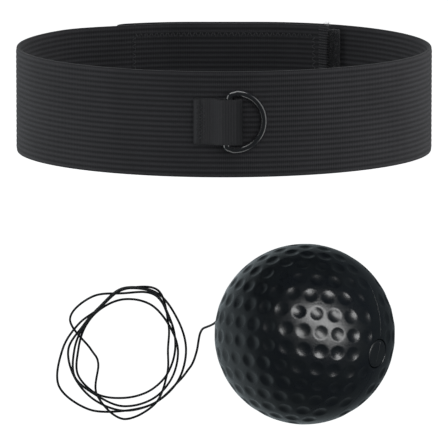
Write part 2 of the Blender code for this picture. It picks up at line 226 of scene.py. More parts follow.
COIL_BEARING = math.radians(-30.0)  # where the lead comes in
COIL_BEARING_STEP = math.radians(30.0)
# Each turn's radii in millimetres, clockwise, at these steps.
COIL_TURNS = (
    (27.8, 27.2, 27.0, 25.5, 24.4, 23.7, 20.2, 21.1, 26.8, 28.7, 26.9, 27.1),
    (27.3, 27.0, 26.9, 30.4, 32.2, 26.2, 22.2, 20.8, 26.3, 30.0, 22.5, 19.3),
    (21.8, 27.3, 30.5, 22.9, 12.5, 14.0, 26.5, 26.7, 24.8, 27.6, 24.0, 22.4),
    (21.7, 21.4, 21.4, 22.5, 22.6, 19.4, 19.2, 20.4, 22.0, 22.9, 22.5, 23.6),
    (24.3, 24.9, 24.9, 23.0, 24.1, 21.1, 20.0, 20.9, 26.7, 28.3, 23.9),
)

# Camera.
CAMERA_TILT = math.radians(9.5)
CAMERA_DISTANCE = 3.0
CAMERA_TARGET = Vector((0.0, 0.0083, 0.075))
CAMERA_LENS = 574.0
SENSOR_WIDTH = 36.0

# Studio. The glow's strength is (share of the way from straight down to straight up, brightness).
GLOW = ((0.0, 0.45), (0.30, 0.62), (0.50, 0.72), (0.60, 0.34), (0.72, 0.04), (1.0, 0.0))
GLOW_SIDE = (-0.95, -0.30)  # the X and Y of the side that it comes from
GLOW_FOCUS = 3.0
LOW_GLOW = 0.85  # more of it from straight below, which lights the ball's rim
EVEN_GLOW = 0.13
TABLE_HALF = 20.0
RING_LIGHT_DISTANCE = 0.9
RING_LIGHT_HEIGHT = 0.40


def smooth_step(value):
    value = np.clip(value, 0.0, 1.0)
    return value * value * (3.0 - 2.0 * value)


def unit(vectors):
    return vectors / np.linalg.norm(vectors, axis=-1, keepdims=True)


def full_turn(count):
    return np.linspace(0.0, TURN, count, endpoint=False)


def circle(angles, radius, centre):
    """Points on a circle, or on a line whose radius changes."""
    return np.column_stack([centre[0] + radius * np.cos(angles), centre[1] + radius * np.sin(angles)])


# ---- meshes

def ring_faces(rows, columns, closed=False, capped=False):
    """Quads between rings of points. closed joins the last ring to the first, and capped fills these two."""
    row, column = np.meshgrid(np.arange(rows if closed else rows - 1), np.arange(columns), indexing="ij")
    next_row = (row + 1) % rows * columns
    next_column = (column + 1) % columns
    row = row * columns
    corners = (row + column, row + next_column, next_row + next_column, next_row + column)
    faces = np.stack(corners, axis=-1).reshape(-1, 4).tolist()
    if capped:
        faces += [list(range(columns)), list(range((rows - 1) * columns, rows * columns))]
    return faces


def piece(name, shape, material, body=None):
    """A smooth mesh that rides on a body, or on none yet.

    shape is its points, its faces and, where its material follows one, a weave vector for each point.
    """
    points, faces, *weave = shape
    mesh = bpy.data.meshes.new(name)
    mesh.from_pydata(np.asarray(points, float).reshape(-1, 3).tolist(), [], faces)
    if weave:
        layer = mesh.attributes.new("weave", "FLOAT_VECTOR", "POINT")
        layer.data.foreach_set("vector", np.asarray(weave[0], np.float32).ravel())
    solid = bmesh.new()
    solid.from_mesh(mesh)
    bmesh.ops.recalc_face_normals(solid, faces=solid.faces[:])
    solid.to_mesh(mesh)
    solid.free()
    mesh.shade_smooth()
    mesh.set_sharp_from_angle(angle=SHARP_ANGLE)
    mesh.materials.append(material)
    made = bpy.data.objects.new(name, mesh)
    bpy.context.scene.collection.objects.link(made)
    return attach(made, body) if body else made


def frames_along(path, closed=False):
    """Two unit vectors across a path at each of its points, turning as little as they can."""
    if closed:
        tangents = unit(np.roll(path, -1, axis=0) - np.roll(path, 1, axis=0))
    else:
        tangents = unit(np.gradient(path, axis=0))
    first = np.cross(tangents[0], (0.0, 0.0, 1.0) if abs(tangents[0][2]) < 0.9 else (1.0, 0.0, 0.0))
    across = [unit(first)]
    for tangent in tangents[1:]:
        across.append(unit(across[-1] - tangent * (across[-1] @ tangent)))
    across = np.array(across)
    return across, np.cross(tangents, across)


def tube(path, radius, sides, closed=False):
    """Points, faces and weave vectors (length along, angle around, 0) of a round tube with domed ends."""
    path = np.asarray(path, float)
    across, up = frames_along(path, closed)
    radii = np.full(len(path), radius)
    if not closed:
        past, wide = np.array(TUBE_END).T[..., None] * radius
        path = np.vstack([path[0] - unit(path[1] - path[0]) * past, path,
                          path[-1] + unit(path[-1] - path[-2]) * past[::-1]])
        across, up = (np.vstack([v[:1], v[:1], v, v[-1:], v[-1:]]) for v in (across, up))
        radii = np.concatenate([wide[:, 0], radii, wide[::-1, 0]])
    angles = full_turn(sides)
    offsets = across[:, None] * np.cos(angles)[:, None] + up[:, None] * np.sin(angles)[:, None]
    points = path[:, None] + offsets * radii[:, None, None]
    faces = ring_faces(len(path), sides, closed, capped=not closed)
    run = np.concatenate([[0.0], np.cumsum(np.linalg.norm(np.diff(path, axis=0), axis=1))])
    weave = np.zeros_like(points)
    weave[..., 0] = run[:, None]
    weave[..., 1] = angles
    return points.reshape(-1, 3), faces, weave.reshape(-1, 3)


def joined(parts):
    """Several (points, faces, weave) together."""
    points, faces, weave = [], [], []
    count = 0  # of the points so far
    for part_points, part_faces, part_weave in parts:
        points.append(part_points)
        faces += [[corner + count for corner in face] for face in part_faces]
        weave.append(part_weave)
        count += len(part_points)
    return np.vstack(points), faces, np.vstack(weave)


def smooth_route(points, step):
    """Points about one step apart on a Catmull-Rom curve through the route's own points."""
    route = np.asarray(points, float)
    route = np.vstack([2.0 * route[0] - route[1], route, 2.0 * route[-1] - route[-2]])
    result = []
    for before, start, end, after in zip(route, route[1:], route[2:], route[3:]):
        t = np.linspace(0.0, 1.0, max(2, round(np.linalg.norm(end - start) / step) + 1))[:-1, None]
        result.append(0.5 * (2.0 * start + (end - before) * t
                             + (2.0 * before - 5.0 * start + 4.0 * end - after) * t * t
                             + (3.0 * start - before - 3.0 * end + after) * t ** 3))
    return np.vstack(result + [route[-2:-1]])


# ---- materials

class Nodes:
    """A short way to write a node tree: each call adds one node and returns its output."""

    def __init__(self, tree):
        self.tree = tree

    def feed(self, socket, value):
        if isinstance(value, bpy.types.NodeSocket):
            self.tree.links.new(value, socket)
        else:
            socket.default_value = value

    def add(self, kind, output=0, settings=(), **inputs):
        node = self.tree.nodes.new("ShaderNode" + kind)
        for key, value in dict(settings).items():
            setattr(node, key, value)
        for key, value in inputs.items():
            self.feed(node.inputs[key.replace("_", " ")], value)
        return node.outputs[output]

    def math(self, operation, *values):
        node = self.add("Math", settings={"operation": operation}).node
        for socket, value in zip(node.inputs, values):
            self.feed(socket, value)
        return node.outputs[0]

    def split(self, vector):
        """A vector's three numbers."""
        return tuple(self.add("SeparateXYZ", Vector=vector).node.outputs)

    def wave(self, length, pitch, phase=0.0):
        """A sine between 0 and 1 that repeats every pitch."""
        angle = self.math("MULTIPLY_ADD", length, TURN / pitch, phase)
        return self.math("MULTIPLY_ADD", self.math("SINE", angle), 0.5, 0.5)

    def noise(self, size, detail=3.0):
        """Noise whose features are about this size, in the piece's own space."""
        return self.add("TexNoise", Vector=self.add("TexCoord", "Object"), Scale=1.0 / size, Detail=detail)

    def blend(self, share, first, second):
        """A mix of two colours, whose sockets are the Mix node's inputs 6 and 7 and its output 2."""
        node = self.add("Mix", settings={"data_type": "RGBA"}, Factor=share).node
        self.feed(node.inputs[6], first)
        self.feed(node.inputs[7], second)
        return node.outputs[2]

    def level(self, value, low, high, to_low, to_high):
        """Maps low..high to to_low..to_high."""
        return self.add("MapRange", Value=value, From_Min=low, From_Max=high, To_Min=to_low, To_Max=to_high)

    def spread(self, noise, low, high):
        """Brings noise, most of which is between 0.3 and 0.7, to low..high."""
        return self.level(noise, 0.3, 0.7, low, high)


class Surface(Nodes):
    """The nodes of a new material."""

    def __init__(self, name):
        self.material = bpy.data.materials.new(name)
        self.material.use_nodes = True
        super().__init__(self.material.node_tree)
        self.shader = self.tree.nodes["Principled BSDF"]

    def weave(self):
        """The piece's own weave vector, as its three numbers."""
        return self.split(self.add("Attribute", "Vector", {"attribute_name": "weave"}))

    def bump(self, height, distance, strength=1.0):
        normal = self.add("Bump", Height=height, Distance=distance, Strength=strength)
        self.feed(self.shader.inputs["Normal"], normal)

    def finish(self, color, roughness, **constants):
        self.feed(self.shader.inputs["Base Color"], color)
        self.feed(self.shader.inputs["Roughness"], roughness)
        for key, value in constants.items():
            self.shader.inputs[key.replace("_", " ")].default_value = value
        return self.material


def rgba(red, green, blue):
    return (red, green, blue, 1.0)


def elastic_material():
    """Ribbed woven elastic: painted shade darkening the grooves between the ribs, fine weft lines across the
    ribs, and a little lint.
    """
    nodes = Surface("ribbed_elastic")
    along, across, _ = nodes.weave()
    groove_shade = nodes.wave(across, RIB_PITCH, math.pi / 2.0)
    weft = nodes.wave(along, ELASTIC_WEFT_PITCH)
    lint = nodes.noise(0.0011, 4.0)
    patches = nodes.noise(0.018, 2.0)
    # Painted shade: the grooves between the ribs are coloured darker than the rib tops.
    shaded_rib_color = nodes.blend(groove_shade, rgba(0.0138, 0.0135, 0.0152), rgba(0.0350, 0.0342, 0.0376))
    tone = nodes.math("ADD", nodes.spread(lint, -0.12, 0.12), nodes.spread(patches, -0.10, 0.10))
    tone = nodes.math("ADD", tone, nodes.level(weft, 0.0, 1.0, 0.93, 1.07))
    color = nodes.add("VectorMath", 0, {"operation": "SCALE"}, Vector=shaded_rib_color, Scale=tone)
    height = nodes.math("ADD", weft, nodes.math("MULTIPLY", lint, 1.4))
    nodes.bump(height, 0.00009, 0.8)
    return nodes.finish(color, nodes.spread(lint, 0.74, 0.92),
                        Sheen_Weight=0.06, Sheen_Roughness=0.45, Specular_IOR_Level=0.22)


def webbing_material():
    """Plain-woven polyester webbing: weft ribs along Y and fine warp across them."""
    nodes = Surface("webbing")
    along, across, _ = nodes.weave()
    weft = nodes.wave(along, WEFT_PITCH)
    warp = nodes.wave(across, 0.00062)
    lint = nodes.noise(0.0009, 4.0)
    thread = nodes.math("MULTIPLY", weft, nodes.level(warp, 0.0, 1.0, 0.6, 1.0))
    color = nodes.blend(thread, rgba(0.0250, 0.0245, 0.0265), rgba(0.0330, 0.0325, 0.0350))
    height = nodes.math("ADD", thread, nodes.math("MULTIPLY", lint, 0.7))
    nodes.bump(height, 0.00005, 0.7)
    return nodes.finish(color, nodes.spread(lint, 0.66, 0.84),
                        Sheen_Weight=0.06, Sheen_Roughness=0.4, Specular_IOR_Level=0.25)


def thread_material(name, dark, light, roughness):
    """Twisted thread: slanting plies along it."""
    nodes = Surface(name)
    along, around, _ = nodes.weave()
    ply = nodes.wave(along, 0.0009, around)
    lint = nodes.noise(0.0006, 3.0)
    color = nodes.blend(ply, dark, light)
    nodes.bump(nodes.math("ADD", ply, nodes.math("MULTIPLY", lint, 0.4)), 0.00005, 0.8)
    return nodes.finish(color, roughness, Sheen_Weight=0.15, Sheen_Roughness=0.4)


def hook_material():
    """The hook side: rows of tiny hooks on a stiff ground."""
    nodes = Surface("hook_tape")
    spots = nodes.add("TexVoronoi", Vector=nodes.add("TexCoord", "Object"), Scale=1.0 / 0.0016)
    hooks = nodes.level(spots, 0.15, 0.55, 1.0, 0.0)
    color = nodes.blend(hooks, rgba(0.012, 0.012, 0.013), rgba(0.030, 0.030, 0.032))
    nodes.bump(hooks, 0.0003, 0.9)
    return nodes.finish(color, 0.62)


def pile_material():
    """The pile side: brushed loops."""
    nodes = Surface("pile_tape")
    tuft = nodes.noise(0.0008, 5.0)
    color = nodes.blend(nodes.spread(tuft, 0.0, 1.0),
                        rgba(0.018, 0.018, 0.020), rgba(0.042, 0.042, 0.046))
    nodes.bump(tuft, 0.0003, 0.8)
    return nodes.finish(color, 0.94, Sheen_Weight=0.35, Sheen_Roughness=0.5)


def enamel_material():
    """Glossy black enamel on steel wire, with a faint ripple and slight haze."""
    nodes = Surface("enamelled_steel")
    ripple = nodes.noise(0.0022, 2.0)
    haze = nodes.noise(0.0060, 4.0)
    color = nodes.blend(haze, rgba(0.0060, 0.0060, 0.0070), rgba(0.0125, 0.0125, 0.0140))
    nodes.bump(ripple, 0.00001, 0.4)
    return nodes.finish(color, nodes.spread(haze, 0.15, 0.23), Coat_Weight=0.4, Coat_Roughness=0.08)


def skin_material(name, grain_distance, roughness):
    """Moulded foam rubber: satin, blue-green black, with a fine grain."""
    nodes = Surface(name)
    grain = nodes.noise(0.0006, 5.0)
    cloud = nodes.noise(0.011, 3.0)
    color = nodes.blend(nodes.spread(cloud, 0.0, 1.0),
                        rgba(0.0006, 0.0014, 0.0030), rgba(0.0020, 0.0030, 0.0038))
    rough = nodes.math("ADD", nodes.spread(grain, -0.05, 0.05),
                       nodes.spread(cloud, roughness - 0.03, roughness + 0.03))
    nodes.bump(grain, grain_distance, 0.7)
    return nodes.finish(color, rough, Specular_IOR_Level=0.5)


def cord_material():
    """Braided cover: two sets of strands that cross as helices."""
    nodes = Surface("cord_cover")
    along, around, _ = nodes.weave()
    braid = nodes.math("MAXIMUM", *(nodes.wave(along, 0.0011, nodes.math("MULTIPLY", around, turn))
                                    for turn in (3.0, -3.0)))
    color = nodes.blend(braid, rgba(0.0250, 0.0250, 0.0265), rgba(0.0650, 0.0650, 0.0680))
    nodes.bump(braid, 0.00012, 0.9)
    return nodes.finish(color, 0.72, Sheen_Weight=0.12, Sheen_Roughness=0.4)


def hidden_cord_material():
    """The cord's cover on the pieces inside the ball, which have no weave vector to follow."""
    nodes = Surface("cord_inside")
    strand = nodes.noise(0.0006, 4.0)
    color = nodes.blend(strand, rgba(0.0090, 0.0090, 0.0100), rgba(0.0260, 0.0260, 0.0280))
    nodes.bump(strand, 0.0001, 0.8)
    return nodes.finish(color, 0.78, Sheen_Weight=0.12, Sheen_Roughness=0.4)


def nylon_material():
    """Pale moulded nylon of the hidden washer."""
    nodes = Surface("washer_nylon")
    cloud = nodes.noise(0.003, 3.0)
    color = nodes.blend(cloud, rgba(0.50, 0.50, 0.47), rgba(0.62, 0.62, 0.60))
    nodes.bump(cloud, 0.00005, 0.5)
    return nodes.finish(color, nodes.spread(cloud, 0.42, 0.55))


# ---- head loop

class LoopOutline:
    """The outside of the head loop in the XZ plane, by its length from the middle of the back towards -X."""

    def __init__(self):
        angle = np.linspace(0.0, math.pi, OUTLINE_SAMPLES + 1)
        flat = np.where(angle < math.pi / 2.0, BACK_FLAT_HALF, 0.0)
        x = -(flat + (LOOP_HALF_LENGTH - flat) * np.sin(angle))
        z = LOOP_HALF_HEIGHT * (1.0 - np.cos(angle))
        half = np.vstack([(0.0, 0.0), np.column_stack([x, z])])
        self.points = np.vstack([half, half[1:-1][::-1] * (-1.0, 1.0), half[:1]])
        steps = np.linalg.norm(np.diff(self.points, axis=0), axis=1)
        self.lengths = np.concatenate([[0.0], np.cumsum(steps)])
        self.total = self.lengths[-1]

    def point(self, along):
        along = np.mod(along, self.total)
        return np.stack([np.interp(along, self.lengths, self.points[:, k]) for k in (0, 1)], axis=-1)

    def outward(self, along):
        """The direction straight out of the loop."""
        run = unit(self.point(along + NORMAL_REACH) - self.point(along - NORMAL_REACH))
        return np.stack([-run[..., 1], np.zeros(run.shape[:-1]), run[..., 0]], axis=-1)

    def place(self, along, depth, y):
        """The point at this length along the loop and this depth in from its outside."""
        along, depth, y = np.broadcast_arrays(along, depth, y)
        base = self.point(along)
        return np.stack([base[..., 0], y, base[..., 1]], axis=-1) - self.outward(along) * depth[..., None]


OUTLINE = LoopOutline()
FRONT = OUTLINE.total / 2.0
HOOK_DEPTH = ELASTIC_THICKNESS + LOOP_TAPE_THICKNESS + 2.0 * GAP
INNER_LAYER_DEPTH = HOOK_DEPTH + HOOK_THICKNESS + GAP
STRIP_ENDS = (-OVERLAP_HALF, OUTLINE.total + OVERLAP_HALF)
HOOK_ENDS = (TAPE_SETBACK - OVERLAP_HALF, OVERLAP_HALF - TAPE_SETBACK)
PILE_ENDS = (-OVERLAP_HALF - PILE_MARGIN, OVERLAP_HALF - TAPE_SETBACK)


def layer_depth(along):
    """How far in the strip's outer face lies: the inner end is tucked under the outer one."""
    return INNER_LAYER_DEPTH * (1.0 - smooth_step((along - LAYER_RAMP_START) / LAYER_RAMP_LENGTH))


def strip_depth(along):
    """How far in the strip's outer face lies along its whole length, with the outer end curled in."""
    curl = np.clip((along - STRIP_ENDS[1] + TAPE_SETBACK) / TAPE_SETBACK, 0.0, 1.0)
    return layer_depth(along) + END_CURL * curl ** 2


def on_front(along, height, y):
    """A place this far from the middle of the loop's front and this high above it."""
    return OUTLINE.place(FRONT + along, -height, y)


def rib_profile():
    """(across, sunk) pairs over the strip's width: how far its face sinks below the tops of the ribs."""
    inner = STRIP_HALF_WIDTH - SELVEDGE
    across = np.linspace(-inner, inner, RIB_COUNT * RIB_SAMPLES + 1)
    sunk = RIB_DEPTH * (1.0 - np.abs(np.sin(math.pi * (across + inner) / RIB_PITCH)) ** 0.8)
    edge, edge_sunk = np.array(SELVEDGE_EDGE).T
    outer = STRIP_HALF_WIDTH - edge
    across = np.concatenate([-outer, across, outer[::-1]])
    return across, np.concatenate([edge_sunk, sunk, edge_sunk[::-1]])


def flat_strip(stations, depths, thickness, across, sunk):
    """Points, faces and weave of a strip along the loop. across and sunk describe both its faces alike."""
    ring_across = np.concatenate([across, across[::-1]])
    ring_depth = np.concatenate([sunk, thickness - sunk[::-1]])
    depth = np.broadcast_to(depths, stations.shape)[:, None] + ring_depth
    points = OUTLINE.place(stations[:, None], depth, LOOP_Y + ring_across)
    weave = np.stack(np.broadcast_arrays(stations[:, None], ring_across, ring_depth), axis=-1)
    rows, columns = points.shape[:2]
    faces = ring_faces(rows, columns)
    half = columns // 2
    for base in (0, (rows - 1) * columns):
        faces += [[base + i, base + i + 1, base + columns - 2 - i, base + columns - 1 - i]
                  for i in range(half - 1)]
    return points.reshape(-1, 3), faces, weave.reshape(-1, 3)


def build_elastic(material):
    count = round((STRIP_ENDS[1] - STRIP_ENDS[0]) / STRIP_STEP)
    stations = np.linspace(*STRIP_ENDS, count + 1)
    shape = flat_strip(stations, strip_depth(stations), ELASTIC_THICKNESS, *rib_profile())
    band = piece("woven_elastic", shape, material, "headband")
    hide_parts("elastic_band")


# ---- cord

def coil_plan():
    """The coil seen from above: a smooth line through each turn's radii, from the lead's end inwards."""
    radii = np.concatenate([np.array(turn) for turn in COIL_TURNS]) * MM
    bearings = COIL_BEARING - COIL_BEARING_STEP * np.arange(len(radii))
    return circle(bearings, radii, COIL_CENTRE)


def lay_over(line):
    """Lifts a cord laid on a table in this order, so that it passes over its earlier parts in low humps."""
    run = np.concatenate([[0.0], np.cumsum(np.linalg.norm(np.diff(line[:, :2], axis=0), axis=1))])
    apart = np.linalg.norm(line[:, None, :2] - line[None, :, :2], axis=2)
    spacing = np.abs(run[:, None] - run[None, :])
    width = 2.0 * CORD_RADIUS * 1.06  # a little more than the cord's, so the strands stay apart
    over = np.sqrt(np.maximum(width ** 2 - apart ** 2, 0.0))
    order = np.arange(len(line))
    under = (apart < width) & (spacing > 4.0 * width) & (order[None, :] < order[:, None])
    hump = HUMP_RISE * (1.0 - np.cos(np.clip(spacing / HUMP_REACH, 0.0, 1.0) * math.pi)) / 2.0
    hump[spacing > HUMP_REACH] = 1.0  # so far off that it asks for no lift
    base = line[:, 2]
    lift = np.zeros(len(line))
    for _ in range(CROSSING_PASSES):
        need = np.where(under, (base + lift)[None, :] + over - base[:, None], 0.0).max(axis=1)
        lifted = np.maximum(lift, need)
        lifted = np.maximum(lifted, (lifted[None, :] - hump).max(axis=1))
        if np.allclose(lifted, lift, atol=1e-7):
            break
        lift = lifted
    return np.column_stack([line[:, :2], base + lift])


def build_cord(material):
    plan = coil_plan()
    plan = np.column_stack([plan, np.full(len(plan), CORD_RADIUS)])
    line = lay_over(smooth_route(np.vstack([LEAD_ROUTE, plan]), CORD_STEP))
    cord = piece("cord", tube(line, CORD_RADIUS, CORD_SIDES), material, "cord")
    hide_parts("cord_lead", "cord_coil")
    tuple(LEAD_ROUTE[0])


# ---- ball

def ball_axes():
    """The ball's own X, Y and Z directions as rows, with Z along the bore towards the plug."""
    x = unit(np.cross((0.0, 1.0, 0.0), BORE_AXIS))
    return np.array([x, np.cross(BORE_AXIS, x), BORE_AXIS])


def dimple_directions():
    """Unit vectors to the dimples, clear of the mould line, the plug and the bore."""
    zero = unit(BORE_AXIS - DIMPLE_AXIS * (DIMPLE_AXIS @ BORE_AXIS))
    side = np.cross(zero, DIMPLE_AXIS)
    found = []
    for way, turns in ((1.0, ROW_TURNS), (-1.0, ROW_TURNS_BELOW)):
        for row, turn in enumerate(turns):
            latitude = way * ROW_PITCH * (row + 0.5)
            count = max(3, round(DIMPLES_PER_TURN * math.cos(latitude)))
            angles = math.radians(turn) + full_turn(count)
            around = zero * np.cos(angles)[:, None] + side * np.sin(angles)[:, None]
            found.append(around * math.cos(latitude) + DIMPLE_AXIS * math.sin(latitude))
    found = np.vstack(found)
    clear_of_line = np.abs(found @ MOULD_NORMAL) > math.sin(MOULD_BAND)
    along_bore = found @ BORE_AXIS
    clear_of_plug = along_bore < math.cos(DIMPLE_RADIUS + POCKET_RADIUS / BALL_RADIUS)
    clear_of_bore = along_bore > -math.cos(DIMPLE_RADIUS + 1.5 * BORE_RADIUS / BALL_RADIUS)
    return found[clear_of_line & clear_of_plug & clear_of_bore]


def dimpled(directions, dimples):
    """The skin's distance from the centre in each direction."""
    nearest = (directions @ dimples.T).max(axis=1)
    share = np.arccos(np.clip(nearest, -1.0, 1.0)) / DIMPLE_RADIUS
    return BALL_RADIUS - DIMPLE_DEPTH * np.clip(1.0 - share ** 2, 0.0, 1.0) ** DIMPLE_POWER


def turned(profile, columns):
    """A (radius, height) profile turned about the bore, as rows of points from the ball's centre."""
    profile = np.asarray(profile, float)
    angles = full_turn(columns)
    local = np.stack([profile[:, None, 0] * np.cos(angles), profile[:, None, 0] * np.sin(angles),
                      np.repeat(profile[:, 1:2], columns, axis=1)], axis=-1)
    return local @ ball_axes()


def build_ball(material):
    """The dimpled skin, the rounded lip of the pocket, the pocket and the bore, all one surface."""
    lip = np.array(((0.0, -0.50), (0.03, -0.28), (0.12, -0.12), (0.30, -0.03))) * MM
    lip += (POCKET_RADIUS, math.sqrt(BALL_RADIUS ** 2 - POCKET_RADIUS ** 2))
    slope = np.linspace(math.asin((POCKET_RADIUS + 0.5 * MM) / BALL_RADIUS),
                        math.pi - math.asin((BORE_RADIUS + 0.2 * MM) / BALL_RADIUS), BALL_ROWS)
    dimples = dimple_directions()
    skin = turned(np.column_stack([np.sin(slope), np.cos(slope)]), BALL_COLUMNS)
    skin = [row * dimpled(row, dimples)[:, None] for row in skin]
    mouth = 0.25 * MM - math.sqrt(BALL_RADIUS ** 2 - BORE_RADIUS ** 2)
    bore = ((BORE_RADIUS, mouth), (BORE_RADIUS, POCKET_FLOOR), (POCKET_RADIUS, POCKET_FLOOR))
    points = np.concatenate([turned(lip, BALL_COLUMNS), skin, turned(bore, BALL_COLUMNS)]) + BALL_CENTRE
    shape = points, ring_faces(len(points), BALL_COLUMNS, closed=True)
    ball = piece("foam_ball_skin", shape, material, "foam_ball")
    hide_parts("ball")


def build_plug(material):
    """The plug fills the pocket flush with the skin; its edge is rounded, so its ring shows."""
    edge = np.array(((-0.3, -0.06), (-0.1, -0.20), (0.0, -0.42))) * MM
    edge += (PLUG_RADIUS, math.sqrt(BALL_RADIUS ** 2 - PLUG_RADIUS ** 2))
    slope = np.linspace(0.0, math.asin((PLUG_RADIUS - 0.6 * MM) / BALL_RADIUS), PLUG_ROWS + 1)[1:]
    dome = np.column_stack([np.sin(slope), np.cos(slope)]) * (BALL_RADIUS - 0.05 * MM)
    profile = np.vstack([dome, edge, ((PLUG_RADIUS, PLUG_FLOOR), (0.2 * MM, PLUG_FLOOR))])
    shape = turned(profile, PLUG_COLUMNS) + BALL_CENTRE, ring_faces(len(profile), PLUG_COLUMNS, capped=True)
    plug = piece("foam_plug", shape, material, "foam_ball")
    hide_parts("ball_plug")


def build_mould_line(material):
    """The parting line of the mould: a low ridge round the ball through the plug, and across the plug."""
    start = unit(BORE_AXIS - MOULD_NORMAL * (MOULD_NORMAL @ BORE_AXIS))
    side = np.cross(MOULD_NORMAL, start)
    plug_gap = (POCKET_RADIUS + 0.9 * MM) / BALL_RADIUS
    bore_gap = 2.5 * BORE_RADIUS / BALL_RADIUS
    plug_half = (PLUG_RADIUS - 0.9 * MM) / BALL_RADIUS
    runs = ((plug_gap, math.pi - bore_gap, MOULD_LINE_STEPS),
            (math.pi + bore_gap, TURN - plug_gap, MOULD_LINE_STEPS),
            (-plug_half, plug_half, PLUG_LINE_STEPS))
    parts = []
    for first, last, steps in runs:
        angles = np.linspace(first, last, steps)[:, None]
        path = (start * np.cos(angles) + side * np.sin(angles)) * (BALL_RADIUS - MOULD_LINE_SUNK)
        parts.append(tube(path + BALL_CENTRE, MOULD_LINE_RADIUS, THREAD_SIDES))
    line = piece("mould_line", joined(parts), material, "foam_ball")


# ---- thread

def stitch_row(holes, place, sunk=0.0):
    """A thread from hole to hole: it dips into the cloth at each, and is pulled in this far all along.

    place turns (along, across, height) into points.
    """
    holes = np.asarray(holes, float)
    share = np.linspace(0.0, 1.0, STITCH_SAMPLES + 1)[:-1]
    height = STITCH_RISE - STITCH_DIP * np.abs(np.cos(math.pi * share)) ** 6
    route = [np.column_stack([start + (end - start) * share[:, None], height])
             for start, end in zip(holes, holes[1:])]
    route = np.vstack([*route, (*holes[-1], height[0])])
    return tube(place(route[:, 0], route[:, 1], route[:, 2] - sunk), THREAD_RADIUS, THREAD_SIDES)


# ---- tab

def tab_line():
    """The middle of the webbing as (along, height) pairs, all the way round.

    It is LAYER_SAMPLES points on the band, NOSE_SAMPLES round the D-ring's bar, LAYER_SAMPLES back on top
    and FOLD_SAMPLES round the fold at the sewn end.
    """
    half = WEBBING_CLOTH / 2.0
    low = GAP + half
    high = GAP + 2.0 * WEBBING_THICKNESS - half
    nose_low = GAP + WEBBING_THICKNESS / 2.0
    nose_middle = GAP + WEBBING_THICKNESS + WIRE_RADIUS + GAP
    fold_radius = (high - low) / 2.0
    fold_along = TAB_START + fold_radius + half
    along = np.linspace(fold_along, NOSE_CENTRE, LAYER_SAMPLES)
    dip = smooth_step((along - TAB_FOLD) / TAB_FOLD_LENGTH)
    lower = np.column_stack([along, low + (nose_low - low) * dip])
    turn = np.linspace(-math.pi / 2.0, math.pi / 2.0, NOSE_SAMPLES + 2)[1:-1]
    nose = circle(turn, nose_middle - nose_low, (NOSE_CENTRE, nose_middle))
    along = along[::-1]
    rise = smooth_step((along - TAB_RISE_START) / (TAB_RISE_END - TAB_RISE_START))
    height = high + (2.0 * nose_middle - nose_low - high) * rise
    height += 0.45 * MM * np.exp(-((along - fold_along - 0.3 * MM) / (0.7 * MM)) ** 2)  # the fold stands up
    height -= 0.18 * MM * np.exp(-((along - sum(TAB_SEAM) / 2.0) / (1.6 * MM)) ** 4)  # the seam pulls it in
    upper = np.column_stack([along, height])
    turn = np.linspace(math.pi / 2.0, 1.5 * math.pi, FOLD_SAMPLES + 2)[1:-1]
    top, bottom = upper[-1, 1], lower[0, 1]
    fold = np.column_stack([fold_along + fold_radius * 1.3 * np.cos(turn),
                            (top + bottom) / 2.0 + (top - bottom) / 2.0 * np.sin(turn)])
    return np.vstack([lower, nose, upper, fold])


def on_tab(along, across, height):
    """A place this high above the webbing's top face, over the sewn end."""
    upper = tab_line()[LAYER_SAMPLES + NOSE_SAMPLES:][:LAYER_SAMPLES]
    top = np.interp(along, upper[::-1, 0], upper[::-1, 1]) + WEBBING_CLOTH / 2.0
    return on_front(along, top + height, TAB_Y + across)


def build_tab(material):
    """The webbing, a flat ring of cloth with rounded edges and weft ribs, laid along its middle line."""
    line = tab_line()
    steps = np.linalg.norm(np.roll(line, -1, axis=0) - line, axis=1)
    run = np.concatenate([[0.0], np.cumsum(steps)[:-1]])
    tangent = unit(np.roll(line, -1, axis=0) - np.roll(line, 1, axis=0))
    normal = np.column_stack([tangent[:, 1], -tangent[:, 0]])
    half = WEBBING_CLOTH / 2.0
    turn = np.linspace(-math.pi / 2.0, math.pi / 2.0, EDGE_SAMPLES)
    face = np.linspace(-1.0, 1.0, FACE_COLUMNS + 2)[1:-1] * (TAB_HALF_WIDTH - EDGE_RADIUS)
    edge = TAB_HALF_WIDTH - EDGE_RADIUS + EDGE_RADIUS * np.cos(turn)
    across = np.concatenate([face, edge, -face, -edge[::-1]])
    flat = np.full(FACE_COLUMNS, half)
    lift = np.concatenate([-flat, half * np.sin(turn), flat, half * np.sin(turn[::-1])])
    ribs = WEFT_HEIGHT * np.sin(TURN * run / WEFT_PITCH)
    wander = 0.12 * MM * np.sin(run / (4.3 * MM)) + 0.07 * MM * np.sin(run / (1.7 * MM) + 1.0)
    offset = lift[None, :] * (1.0 + (ribs / half)[:, None])
    along = line[:, None, 0] + normal[:, None, 0] * offset
    height = line[:, None, 1] + normal[:, None, 1] * offset
    spread = np.broadcast_to(across, along.shape) * (1.0 + wander[:, None] / TAB_HALF_WIDTH)
    points = on_front(along, height, TAB_Y + spread)
    weave = np.stack([np.broadcast_to(run[:, None], along.shape), spread, offset], axis=-1)
    tab = piece("folded_webbing", (points, ring_faces(*along.shape, closed=True), weave), material)
    bend = [tuple(on_front(value, GAP + WEBBING_THICKNESS, TAB_Y)) for value in TAB_BEND]
    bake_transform(tab)
    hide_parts("tab_base", "tab_loop")


